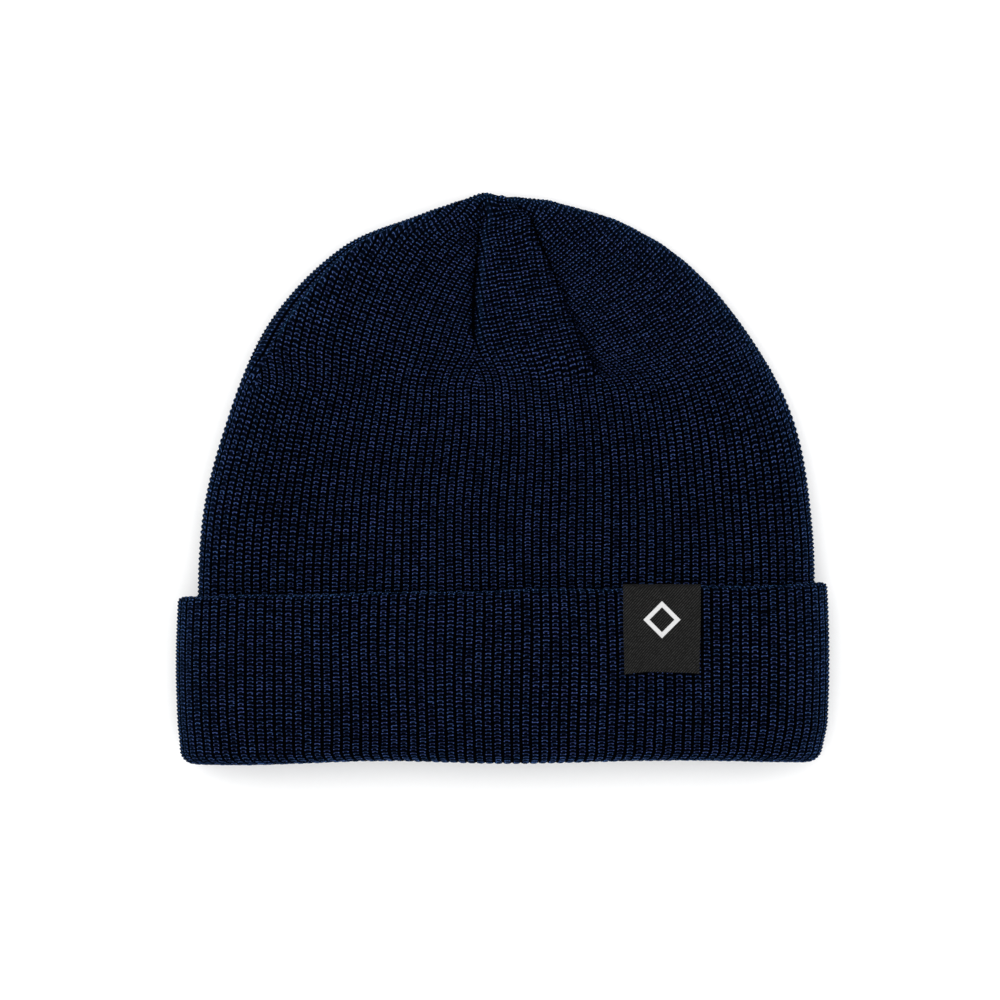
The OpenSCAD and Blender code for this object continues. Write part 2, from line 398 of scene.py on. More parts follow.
# ---- Places in the fabric ----


def columns_round(steps):
    """The place of each mesh column round the hat, with so many columns in a wale."""
    return np.arange(RIBS * steps) / (RIBS * steps / 2)


SIDE = columns_round(RIB_STEPS)
HIDDEN_SIDE = columns_round(HIDDEN_STEPS)


def snapped(place):
    """The nearest mesh column's place."""
    return round(place * COLUMNS / 2) * 2 / COLUMNS


DARTS = [(snapped(place), end_y, depth) for place, end_y, depth in DARTS]
STARTS = [dart[0] for dart in DARTS]
ENDS = STARTS[1:] + [STARTS[0] + 2]


def drift(place, y):
    """Where a column that starts at a place runs to, as the darts bend left to the tip."""
    place, y = np.atleast_1d(place)[None, :], np.atleast_1d(y)[:, None]
    ran = place
    for dart, most, start, length, power, width in BENDS:
        ran = ran - most * np.clip((y - start) / length, 0, 1) ** power * bump(place, dart, width)
    return ran


def row_run(points, part=0.25):
    """Length from the first row to each row, along the column at a part of the way round."""
    return run_along(points[:, round(points.shape[1] * part)])


def plain_fabric(rings, places, run):
    """Wale and course where the wales fan out evenly, and courses cross them squarely."""
    from_middle = (np.mod(places, 1) - FRONT_MIDDLE) * 2
    sag = np.clip(np.gradient(rings.quarter, run) * rings.quarter / 2, -MAX_SAG, 0)
    course = (run[:, None] + sag[:, None] * from_middle**2) / CROWN_COURSE
    return places * RIBS / 2 + FIRST_WALE, course


def gore_fabric(rings, places, run, index):
    """Wale and course between two darts, where all wales lean alike and end at the darts."""
    middle = (STARTS[index] + ENDS[index]) / 2
    centre = drift(middle, rings.y)[:, 0]
    from_face = centre - (FRONT_MIDDLE if middle < 1 else BACK_MIDDLE)
    true_line = from_face * 2 * rings.quarter
    first = int(np.searchsorted(rings.y, GORE_START_Y - GORE_BLEND))
    lean = np.clip(np.gradient(true_line, run), -MAX_LEAN, MAX_LEAN)
    lean = np.convolve(np.pad(lean, LEAN_ROWS, "edge"), LEAN_WEIGHTS, "same")[LEAN_ROWS:-LEAN_ROWS]
    steps = np.diff(run)
    line = total(steps * (lean[1:] + lean[:-1]) / 2)
    line += true_line[first] - line[first]
    length = total(steps * np.sqrt(1 + lean[1:] ** 2))
    cos = 1 / np.sqrt(1 + lean**2)

    across = (places - centre[:, None]) * 2 * rings.quarter[:, None]
    across += (true_line - line)[:, None]
    pitch = GORE_SPREAD * 4 * rings.quarter[first] / RIBS
    wale = FIRST_WALE + middle * RIBS / 2 + across * cos[:, None] / pitch
    start = plain_fabric(rings, np.full((len(run), 1), middle), run)[1][first, 0]
    level = length - length[first]
    return wale, start + (level[:, None] + (lean * cos)[:, None] * across) / GORE_COURSE


def by_left(columns):
    """Which columns are in the strip of the back outside the left dart, 0 to 1."""
    return np.where(columns < STARTS[0], 1.0, rise(columns, *LEFT_PLAIN))


def among_darts(rings):
    """How far each row is up where the darts lead the wales, 0 to 1."""
    return rise(rings.y, GORE_START_Y - GORE_BLEND, 2 * GORE_BLEND)[:, None]


def crown_fabric(rings, columns, run, edge_run, owner):
    """Wale and course of each point, in the gore that owns its column."""
    wale, course = plain_fabric(rings, drift(columns, rings.y), run)
    blend = among_darts(rings)
    strip = by_left(columns)
    outline = plain_fabric(rings, np.zeros((len(run), 1)), run)[1]
    slack = np.diff(edge_run) / GORE_COURSE - np.diff(outline[:, 0])
    outline[1:, 0] += np.cumsum(blend[1:, 0] * slack)
    course += (outline - course) * blend * strip
    from_outline = wale - FIRST_WALE - np.where(columns > 1, RIBS, 0)
    wale -= LEFT_SPREAD * blend * strip * from_outline
    for index, start in enumerate(STARTS):
        mine = owner == index
        turn = np.where(columns[mine] < start - 0.5, 2, 0)
        places = drift(columns[mine], rings.y) + turn
        gore_wale, gore_course = gore_fabric(rings, places, run, index)
        gore_wale -= turn * RIBS / 2
        share = blend * (1 - strip[mine])
        wale[:, mine] += (gore_wale - wale[:, mine]) * share
        course[:, mine] += (gore_course - course[:, mine]) * share
    return wale, course


def gore_of(columns):
    """The index of the dart to the left of each column, seen from outside."""
    return (np.searchsorted(STARTS, np.mod(columns, 2), side="right") - 1) % len(DARTS)


def shifted(wale, course, seed, loose=1.0):
    """Courses with each wale's stitches moved along it, but for the wales at the two folds."""
    shift = np.random.default_rng(seed).random(RIBS) * WALE_SHIFT
    number = np.arange(RIBS)
    from_fold = np.abs(np.mod(number + RIBS / 4, RIBS / 2) - RIBS / 4)
    shift *= rise(from_fold, *IN_STEP)
    return course + loose * shift[np.mod(np.floor(wale).astype(int), RIBS)]


def even_fabric(columns, run, seed):
    """Wale and course of a ply that is as wide at its last row as at its first."""
    wale = columns[None, :] * RIBS / 2 + np.full((len(run), 1), FIRST_WALE)
    return wale, shifted(wale, run[:, None] / COURSE + 0 * wale, seed)


def relief(wale, course, tight=0.0):
    """Height of the knit, 0 or less: ribs, shallower where it is tight, and their stitches."""
    from_gap = 1 - np.abs(2 * np.mod(wale, 1) - 1)
    rib = 1 - (1 - from_gap) ** 3
    stitch = np.sin(2 * math.pi * (course - STITCH_START)) - 1
    return (rib - 1) * RIB_DEPTH * (1 - TIGHT_FILLS * tight) + rib * stitch * STITCH_DEPTH


def tightness(rings):
    """How tight the knit is at each point: it closes up over the crown."""
    share = np.interp(SIDE, TIGHT_PLACES, TIGHT_SHARES)
    return rise(rings.y, *TIGHTENS)[:, None] * share


def from_dart(rings, index):
    """Length round the hat from a dart to each point, and how far the dart has begun, 0 to 1."""
    start, end_y, _ = DARTS[index]
    gap = np.mod(drift(SIDE, rings.y) - drift(start, rings.y) + 1, 2) - 1
    return gap * 2 * rings.quarter[:, None], rise(rings.y, end_y, DART_START)[:, None]


def ridge(rings, index, middle, width):
    """A soft ridge where the knit is folded along a dart, on its right, 0 to 1."""
    away, begun = from_dart(rings, index)
    return begun * bump(away, middle, width)


def dart_valley(rings):
    """How deep the darts pull the crown in, and how near each point is to one, 0 to 1."""
    depth = np.zeros((len(rings.y), COLUMNS))
    nearness = np.zeros_like(depth)
    dip, dip_length, dip_width = DART_END_DIP
    for index, (_, end_y, most) in enumerate(DARTS):
        away, begun = from_dart(rings, index)
        begun = begun * (1 - DART_FADE * rise(rings.y, end_y, DART_LENGTH))[:, None]
        depth += most * begun * np.exp(-np.abs(away / DART_WIDTH) ** DART_SHAPE)
        reach = np.exp(-np.abs(away / (DART_REACH * DART_WIDTH)) ** DART_SHAPE)
        nearness += most / DEEPEST_DART * begun * reach
        depth += dip * most * bump(rings.y, end_y, dip_length)[:, None] * bump(away, 0, dip_width)
    return depth, np.clip(nearness, 0, 1)


# ---- Meshes ----


def normals(points):
    """Outward unit normals of a grid that closes on itself along its columns."""
    along = np.gradient(points, axis=0)
    across = np.roll(points, -1, axis=1) - np.roll(points, 1, axis=1)
    n = np.cross(across, along)
    return n / np.maximum(np.linalg.norm(n, axis=2, keepdims=True), 1e-12)


def bands_of(rows, gap=None):
    """First rows of the bands of faces, round and back to row 0, leaving out one gap."""
    return np.array([row for row in range(rows) if row != gap])


def band_faces(bands, rows, columns):
    here, there = (bands * columns)[:, None], ((bands + 1) % rows * columns)[:, None]
    j = np.arange(columns)[None, :]
    k = (j + 1) % columns
    return np.stack([here + j, here + k, there + k, there + j], axis=2).reshape(-1, 4)


def band_corners(left, right, bands):
    """Values at the corners of band_faces, from grids of each face's left and right."""
    there = (bands + 1) % len(left)
    return np.stack([left[bands], right[bands], right[there], left[there]], axis=2).ravel()


def new_mesh(name, points, quads, fans=()):
    """A smooth mesh object of quads, and of rings closed by a fan to a point of their own."""
    points = points.reshape(-1, 3)
    corners, sizes = quads.ravel(), np.full(len(quads), 4)
    for ring in fans:
        fan = np.stack([ring, np.roll(ring, -1), np.full(len(ring), len(points))], axis=1)
        points = np.append(points, points[ring].mean(axis=0)[None, :], axis=0)
        corners = np.append(corners, fan)
        sizes = np.append(sizes, np.full(len(ring), 3))
    mesh = bpy.data.meshes.new(name)
    mesh.vertices.add(len(points))
    mesh.vertices.foreach_set("co", points.astype(np.float32).ravel())
    mesh.loops.add(len(corners))
    mesh.loops.foreach_set("vertex_index", corners.astype(np.int32))
    mesh.polygons.add(len(sizes))
    mesh.polygons.foreach_set("loop_start", (np.cumsum(sizes) - sizes).astype(np.int32))
    mesh.polygons.foreach_set("use_smooth", np.ones(len(sizes), bool))
    mesh.update(calc_edges=True)
    obj = bpy.data.objects.new(name, mesh)
    bpy.context.scene.collection.objects.link(obj)
    return obj


def set_uv(obj, name, values):
    obj.data.uv_layers.new(name=name).data.foreach_set("uv", values.astype(np.float32).ravel())


def set_stitches(obj, wale, course):
    """Stores the wale and course of each face corner, which the knit's material reads."""
    uv = np.zeros((len(obj.data.loops), 2))
    uv[:, 0] = 0.5  # the corners of fans, which have no place of their own
    uv[: len(wale), 0] = wale
    uv[: len(course), 1] = course
    set_uv(obj, "stitch", uv)


def set_points(obj, **grids):
    """Stores values of a ply's fine points, which the knit's material reads by name."""
    for name, grid in grids.items():
        values = np.zeros(len(obj.data.vertices), np.float32)
        values[: grid.size] = grid.ravel()
        obj.data.attributes.new(name, "FLOAT", "POINT").data.foreach_set("value", values)


def fold_of(points):
    """How much the knit is folded at each point, 0 to 1: most at the flat hat's outline, where the
    material paints a teal sheen on it.
    """
    return 1 - np.abs(normals(points)[..., 2])


def finished(obj, body, material, slot, *replaced):
    obj.data.materials.append(material)
    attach(obj, body)
    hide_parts(*replaced)
    return obj


# ---- Knitted pieces ----


def soft_waves(points):
    """Slow dips and swells of a soft hat laid down by hand, along Z."""
    x, y = points[..., 0], points[..., 1]
    front = rise(points[..., 2] - NECK_Z, -4 * MM, 8 * MM)
    wave = np.sin(x / (31 * MM) + 0.7) * np.sin(y / (26 * MM) + 1.1)
    wave += 0.6 * np.sin(x / (17 * MM) - y / (44 * MM))
    return WAVES * wave * front * rise(y, BASE_Y, 25 * MM)


def tip_peak(points):
    """The small peak where the front darts meet, and the notch beside it, along Y."""
    return rise(points[..., 1] - TIP_Y, *PEAK_START) * bumps(points[..., 0], PEAK_PARTS)


def top_shift(x, y):
    """Rise of the cuff's top edge, which tilts up to the right and is a little wavy."""
    near = rise(y - BASE_Y, *TOP_FROM) * (1 - rise(y - BASE_Y, *TOP_UNTIL))
    height, length = TOP_WAVE
    return near * (TOP_TILT * x + height * np.sin(x / length))


def wale_sway(x, y):
    """Shift of the wales to the right, inside the outline, as they don't run quite straight."""
    inside = 1 - rise(np.abs(x), 70 * MM, 35 * MM)
    below = 1 - rise(y, 20 * MM, 25 * MM)
    return SWAY * inside * below * np.sin(y / (10 * MM) + x / (17 * MM))


def uneven(points):
    """The hat's small unevenness: of the cuff's top edge, hem and corners, and the wales."""
    out = points.copy()
    x, y = points[..., 0], points[..., 1]
    hem = 1 - rise(y, HEM_Y, HEM_LENGTH)
    out[..., 1] += top_shift(x, y) + hem * (HEM_LIFT + bumps(x, HEM_LIFTS))
    pull = LEFT_PULL * rise(-x, *CORNER) - RIGHT_PULL * rise(x, *CORNER)
    out[..., 0] += hem * pull + wale_sway(x, y)
    return out


def ply_mesh(name, fine, wall, gap=None):
    """A closed ply: fine rows of its seen side, then the rows of its other side back.

    After the gap, if there is one, the ply ends, and a fan closes each side, as at the tip.
    """
    points = np.concatenate([fine, wall])
    rows, columns = points.shape[:2]
    bands = bands_of(rows, gap)
    ring = np.arange(columns)
    fans = () if gap is None else (gap * columns + ring, (gap + 1) % rows * columns + ring[::-1])
    return new_mesh(name, points, band_faces(bands, rows, columns), fans), bands


def set_ply_stitches(obj, bands, rows, left, right):
    """Stores the wale and course of a ply's corners, from those of its fine rows."""
    pad = [(0, rows - len(left[0])), (0, 0)]
    corners = [band_corners(np.pad(a, pad), np.pad(b, pad), bands) for a, b in zip(left, right)]
    set_stitches(obj, *corners)


def crown_wall(angles, depths, neck_y, columns):
    """Rings and points of one side of a crown ply, from the neck to the tip.

    The depths are those at the neck and over the crown, where the plies stand apart.
    """
    at_neck, at_crown = depths
    inset = at_neck + (at_crown - at_neck) * rise(np.degrees(angles), 0, SETTLE_DEGREES)
    rings = stack(neck_rings(neck_y, at_neck), crown_rings(angles, inset))
    return rings, rings.points(drift(columns, rings.y))


def crown_stitches(rings, run, edge_run):
    """Wale and course at the left and at the right of each mesh column."""
    step_over = 2 / COLUMNS
    owner = gore_of(SIDE + step_over / 2)
    loose = 1 - LINED_UP * among_darts(rings)
    sides = []
    # A right corner on the border of two wales counts as the left one's.
    for over, inside in ((0, 0), (step_over, 1e-4)):
        wale, course = crown_fabric(rings, SIDE + over, run, edge_run, owner)
        sides.append((wale, shifted(wale - inside, course, 1, loose)))
    return sides


def crown_surface(rings, base, wale, course):
    """Height of the crown over its plain form, and what its material reads at each point."""
    valley, nearness = dart_valley(rings)
    tight = tightness(rings)
    # Painted sheen at the folds of the outline, and painted highlights on the ridges beside the
    # darts.
    fold = fold_of(base)
    for index, middle, width, share in RIDGE_LIGHTS:
        fold = np.maximum(fold, share * ridge(rings, index, middle, width))
    height = relief(wale, course, tight) * (1 - DART_FLATTENS * nearness) - valley
    for index, middle, width, most in RIDGES:
        height += most * ridge(rings, index, middle, width)
    return height, {"dart": nearness, "fold": fold, "tight": tight}


def crown_piece(material):
    """The crown's outer ply, from inside the cuff to the tip."""
    step = CROWN_COURSE / COURSE_STEPS
    neck_y = np.arange(NECK_Y, BASE_Y - step / 2, step)
    rings, base = crown_wall(even_angles(step), OUTSIDE, neck_y, SIDE)
    run, edge_run = row_run(base), row_run(base, 0)
    base[..., 2] += soft_waves(base)
    base[..., 1] += tip_peak(base)

    left, right = crown_stitches(rings, run, edge_run)
    height, seen = crown_surface(rings, base, *left)
    outer = uneven(base + normals(base) * height[..., None])
    inner = crown_wall(WALL_ANGLES, SHELL_BACK, [NECK_Y], SIDE)[1][::-1]
    obj, bands = ply_mesh("crown_knit", outer, uneven(inner), gap=len(outer) - 1)
    set_ply_stitches(obj, bands, len(outer) + len(inner), left, right)
    set_points(obj, **seen)
    return finished(obj, "crown", material, "knit", "crown_shell")


def hidden_ply(name, fine_base, wall, gap):
    """A plain rib-knit ply of the inside, whose fine rows have relief."""
    run = row_run(fine_base)
    wale, course = even_fabric(HIDDEN_SIDE, run, 2)
    fine = fine_base + normals(fine_base) * relief(wale, course)[..., None]
    obj, bands = ply_mesh(name, uneven(fine), uneven(wall), gap)
    right = (wale + 1 / HIDDEN_STEPS, course)
    set_ply_stitches(obj, bands, len(fine) + len(wall), (wale, course), right)
    return obj, run


def lining_piece(material):
    """The crown's inner ply, knitted side to the hollow."""
    start_y = LINING_LOW[1]
    step = COURSE / HIDDEN_STEPS
    neck_y = np.arange(start_y, BASE_Y - step / 2, step)
    rings, hollow = crown_wall(even_angles(step), LINING_BACK, neck_y, HIDDEN_SIDE)
    outside = crown_wall(WALL_ANGLES, LINING_FRONT, [start_y], HIDDEN_SIDE)[1]
    rows = len(hollow) + len(outside)
    obj, run = hidden_ply("lining_knit", hollow[::-1], outside, gap=rows - 1)
    return finished(obj, "crown", material, "knit", "crown_lining")


# ---- The cuff: its wall is a path of depths under its outer face, and places along Y ----


def arc(middle, radius, start, end, count=17):
    angle = np.radians(np.linspace(start, end, count))
    return [(middle[0] + radius * math.cos(a), middle[1] + radius * math.sin(a)) for a in angle]


def spaced(path, step):
    """A path's points, an even step apart."""
    path = np.array(path)
    run = run_along(path)
    at = np.linspace(0, run[-1], max(2, round(run[-1] / step) + 1))
    return np.stack([np.interp(at, run, path[:, i]) for i in range(2)], axis=1)


def cuff_wall(path, columns):
    """Rings and points of one side of a cuff ply, from a path of depths and places."""
    depth, y = path.T
    bow = CUFF_BOW * np.sin(math.pi * np.clip((y - LIP_END_Y) / (BASE_Y - LIP_END_Y), 0, 1))
    half_w = CUFF_HALF_W - CUFF_BOW + bow - depth
    rings = Rings(half_w, CUFF_HALF_T - depth, EDGE - depth, 0.0, y, NECK_Z)
    return rings, rings.points(np.tile(columns, (len(y), 1)))


def cuff_piece(material):
    """The cuff's outer ply: from its lip in the opening, round the hem, and over the top edge."""
    hem, top = (HEM_R, PLY_END_Y), (FOLD_R, FOLD_Y)
    seen = [(2 * HEM_R, LIP_END_Y), *arc(hem, HEM_R, 0, -180)]
    seen += [*arc(top, FOLD_R, 180, 0), (2 * FOLD_R, FOLD_END_Y)]
    inside = arc(hem, HEM_R - PLY, -180, 0)
    back = [(PLY, FOLD_END_Y), *inside, (2 * HEM_R - PLY, LIP_END_Y)]
    rings, base = cuff_wall(spaced(seen, COURSE / COURSE_STEPS), SIDE)
    run = row_run(base)
    wale, course = even_fabric(SIDE, run, 3)
    base[..., 2] += cuff_waves(base)
    fine = base + normals(base) * relief(wale, course)[..., None]
    wall = cuff_wall(spaced(back, 3 * MM), SIDE)[1]
    obj, bands = ply_mesh("cuff_knit", uneven(fine), uneven(wall))
    right = (wale + 1 / RIB_STEPS, course)
    set_ply_stitches(obj, bands, len(fine) + len(wall), (wale, course), right)
    along_y = smooth(np.abs(normals(base)[..., 1]))
    # Painted sheen at the cuff's folds, less of it on the hem and top edge.
    set_points(obj, fold=fold_of(base) * (1 - HEM_FOLD_LESS * along_y))
    return finished(obj, "cuff", material, "knit", "cuff_face")


def cuff_waves(points):
    """Slow swells of the cuff's front face, along Z."""
    x, y = points[..., 0], points[..., 1]
    on_face = rise(points[..., 2] - CUFF_HIGH[2], -3 * MM, 2 * MM)
    wave = np.sin(x / (23 * MM) + 2.1) * np.cos(y / (19 * MM)) - 1
    return CUFF_WAVES * wave * on_face * bump(y, (BASE_Y + HEM_Y) / 2, 22 * MM)


def backing_piece(material):
    """The cuff's inner ply, between its face and the crown."""
    depth = CUFF_HIGH[2] - BACKING_HIGH[2]
    ends = (BACKING_LOW[1], BACKING_HIGH[1])
    front = [(depth, ends[0]), (depth, ends[1])]
    back = [(depth + PLY, ends[1]), (depth + PLY, ends[0])]
    rings, face = cuff_wall(spaced(front, COURSE / HIDDEN_STEPS), HIDDEN_SIDE)
    wall = cuff_wall(spaced(back, 10 * MM), HIDDEN_SIDE)[1]
    obj, run = hidden_ply("backing_knit", face, wall, gap=None)
    return finished(obj, "cuff", material, "knit", "cuff_backing")


# ---- Sewing threads ----


def tube(path, radius, lay, plies=2, sides=12):
    """Points and faces of a twisted thread along a path, with one radius or one for each point."""
    ahead = np.gradient(path, axis=0)
    ahead /= np.linalg.norm(ahead, axis=1, keepdims=True)
    up = np.where(np.abs(ahead[:, 2:]) > 0.9, [[0.0, 1.0, 0.0]], [[0.0, 0.0, 1.0]])
    side = np.cross(ahead, up)
    side /= np.linalg.norm(side, axis=1, keepdims=True)
    up = np.cross(side, ahead)
    run = run_along(path)
    angle = np.linspace(0, 2 * math.pi, sides, endpoint=False)[None, :]
    twist = angle - 2 * math.pi * run[:, None] / lay
    r = np.reshape(radius, (-1, 1)) * (0.8 + 0.2 * np.abs(np.cos(plies * twist / 2)))
    points = path[:, None, :] + (r * np.cos(angle))[..., None] * side[:, None, :]
    points += (r * np.sin(angle))[..., None] * up[:, None, :]
    faces = band_faces(np.arange(len(path) - 1), len(path), sides)
    ring = np.arange(sides)
    return points.reshape(-1, 3), faces, (ring[::-1], (len(path) - 1) * sides + ring)


def thread_piece(name, tubes, body, material, node):
    """One object of several threads."""
    points, faces, fans = np.empty((0, 3)), np.empty((0, 4), int), []
    for tube_points, tube_faces, ends in tubes:
        faces = np.append(faces, tube_faces + len(points), axis=0)
        fans += [end + len(points) for end in ends]
        points = np.append(points, tube_points, axis=0)
    obj = new_mesh(name, points, faces, fans)
    return finished(obj, body, material, "thread", node)


def seam_path(place, depth):
    """The thread of one dart, as a chain that sways between two plies of the crown."""
    y = np.linspace(SEAM_LOW[1], SEAM_HIGH[1], SEAM_POINTS)
    angle = np.interp(y, crown_y(WALL_FINE), WALL_FINE)
    rings = crown_rings(angle, depth)
    path = rings.points(drift(place, rings.y))[:, 0]
    path[:, 0] += SEAM_SWAY * np.sin(2 * math.pi * y / SEAM_STITCH)
    radius = SEAM_R * np.sqrt(np.cos(angle)) * (0.85 + 0.15 * np.sin(4 * math.pi * y / SEAM_STITCH))
    return path, radius


def seam_pieces(material):
    for name, (place, _, _) in zip(SEAM_NAMES, DARTS):
        chain = tube(*seam_path(place, SHELL_SEAM_DEPTH), SEAM_LAY)
        thread_piece(f"seam_{name}", [chain], "crown", material, f"dart_seam_{name}")
    places = [dart[0] + LINING_DART_SHIFT for dart in DARTS]
    chains = [tube(*seam_path(place, LINING_SEAM_DEPTH), SEAM_LAY) for place in places]
    thread_piece("seams_of_lining", chains, "crown", material, "lining_dart_seams")


def tack_piece(material):
    """Three short threads that tie the lining's tip to the shell's."""
    low, high = box_of("crown_tack")
    y = np.linspace(*crown_y(LAST_ANGLE, np.array([LINING_FRONT[1], SHELL_BACK[1]])), TACK_POINTS)
    z = (low[2] + high[2]) / 2 + TACK_BOW * np.sin(np.linspace(0, math.pi, TACK_POINTS))
    tubes = []
    for part in TACK_PARTS:
        x = np.full(TACK_POINTS, low[0] + (high[0] - low[0]) * part)
        tubes.append(tube(np.stack([x, y, z], axis=1), (high[2] - low[2]) / 2, SEAM_LAY))
    thread_piece("tack", tubes, "crown", material, "crown_tack")


# ---- Label ----


def with_cuff(points):
    """The label's points, moved as one with the uneven cuff under its top edge."""
    edge = np.array([(LABEL_LOW[0] + LABEL_HIGH[0]) / 2, BASE_Y, LABEL_HIGH[2]])
    return points + uneven(edge) - edge


def label_profile():
    """The label's path, as Y and height: up its face, over the cuff's edge and down behind."""
    bend_r = (LABEL_HIGH[2] - TAPE_T) - (CUFF_HIGH[2] - FOLD_R)
    middle = (FOLD_Y, CUFF_HIGH[2] - FOLD_R)
    face_z = LABEL_HIGH[2] - TAPE_T / 2
    tail_z = LABEL_LOW[2] + TAPE_T / 2
    hook = [(LABEL_LOW[1], face_z)] + arc(middle, bend_r + TAPE_T / 2, 90, -90)
    return spaced(hook + [(LABEL_TAIL_Y, tail_z)], TAPE_STEP)


def tape_mesh(name, middle, half_t):
    """A closed sheet round a grid of points, with half its thickness at each of them."""
    n = np.cross(np.gradient(middle, axis=1), np.gradient(middle, axis=0))
    n /= np.linalg.norm(n, axis=2, keepdims=True)
    top, bottom = middle + n * half_t[0][..., None], middle - n * half_t[1][..., None]
    rows, columns = middle.shape[:2]
    index = np.arange(rows * columns).reshape(rows, columns)
    cells = [index[:-1, :-1], index[:-1, 1:], index[1:, 1:], index[1:, :-1]]
    face = np.stack(cells, axis=2).reshape(-1, 4)
    rim = np.concatenate([index[0], index[1:, -1], index[-1, -2::-1], index[-2:0:-1, 0]])
    after, below = np.roll(rim, -1), rows * columns
    edge = np.stack([rim, rim + below, after + below, after], axis=1)
    faces = np.concatenate([face, face[:, ::-1] + below, edge])
    return new_mesh(name, np.concatenate([top, bottom]), faces)


def cut_end_shift(run, across):
    """Shifts that round and wave the label's cut end, by the place across it, -1 to 1."""
    by_end = bump(run, 0, CUT_END)[:, None]
    drop = CORNER_DROP * (np.abs(across) ** 3 - 1 / 3) + CUT_WAVE * np.sin(5 * across)
    return -by_end[..., None] * np.stack([END_NARROWS * across, drop, CORNER_DIP * across**4], axis=2)


def set_weave(obj, x, run):
    """Stores the place across and along the tape of each face corner, which its material reads."""
    weave = np.stack([np.tile(x, (len(run), 1)), np.tile(run[:, None], (1, len(x)))], axis=2)
    corners = np.zeros(len(obj.data.loops), np.int32)
    obj.data.loops.foreach_get("vertex_index", corners)
    both_sides = np.tile(weave.reshape(-1, 2), (2, 1))
    set_uv(obj, "weave", both_sides[corners])


def label_piece(material):
    """A woven tape that hooks over the cuff's top edge, with its cut end a little wavy."""
    profile = label_profile()
    run = run_along(profile)
    count = round((LABEL_HIGH[0] - LABEL_LOW[0]) / TAPE_STEP) + 1
    x = np.linspace(LABEL_LOW[0], LABEL_HIGH[0], count)
    middle = np.zeros((len(profile), count, 3))
    middle[..., 0] = x[None, :]
    middle[..., 1:] = profile[:, None, :]
    middle += cut_end_shift(run, np.linspace(-1, 1, count)[None, :])
    rib = np.sin(2 * math.pi * (x[None, :] / TWILL_PITCH - run[:, None] / TWILL_RISE))
    thick = TAPE_T / 2 + (rib - 1) / 2 * TWILL_DEPTH
    obj = tape_mesh("label_tape", with_cuff(middle), (thick, np.full_like(thick, TAPE_T / 2)))
    set_weave(obj, x, run)
    return finished(obj, "cuff", material, "label_tape", "label")


def mark_piece(material):
    """A plain open diamond in satin stitch: threads that cross its line side by side."""
    middle, half = (MARK_LOW + MARK_HIGH) / 2, (MARK_HIGH - MARK_LOW) / 2
    per_side = round(half[0] * math.sqrt(2) / SATIN_STEP)
    t = np.arange(4 * per_side) / per_side
    side, part = np.floor(t).astype(int), t % 1
    corner = np.array([(1, 0), (0, 1), (-1, 0), (0, -1), (1, 0)], float)
    unit = corner[side] + (corner[side + 1] - corner[side]) * part[:, None]
    thread = np.abs(np.sin(math.pi * np.arange(len(t)) / SATIN_SAMPLES))
    section = SATIN_SECTION + [(-over, up) for over, up in SATIN_SECTION[-2::-1]]
    points = np.zeros((len(section), len(t), 3))
    for row, (over, up) in enumerate(section):
        radius = half[0] - MARK_LINE / 2 + over * MARK_LINE / 2 * (1 - SATIN_EDGE * (1 - thread))
        points[row, :, :2] = middle[:2] + unit * radius[:, None]
        lift = half[2] * 2 * (1 - SATIN_DEPTH * (1 - thread))
        points[row, :, 2] = MARK_LOW[2] + up * lift
    faces = band_faces(np.arange(len(section)), len(section), len(t))
    obj = new_mesh("label_diamond", with_cuff(points), faces[:, ::-1])
    return finished(obj, "cuff", material, "label_mark", "label_mark")


def tail_stitches(material):
    """The row of stitches that holds the label's tail to the cuff."""
    low, high = box_of("label_stitches")
    path = np.tile((low + high) / 2, (TAIL_POINTS, 1))
    tubes = []
    for start in np.linspace(low[0], high[0] - TAIL_STITCH, TAIL_STITCHES):
        path[:, 0] = np.linspace(start, start + TAIL_STITCH, TAIL_POINTS)
        tubes.append(tube(with_cuff(path), (high[2] - low[2]) / 2, TAIL_LAY))
    thread_piece("tail_stitches", tubes, "cuff", material, "label_stitches")


# ---- Materials ----


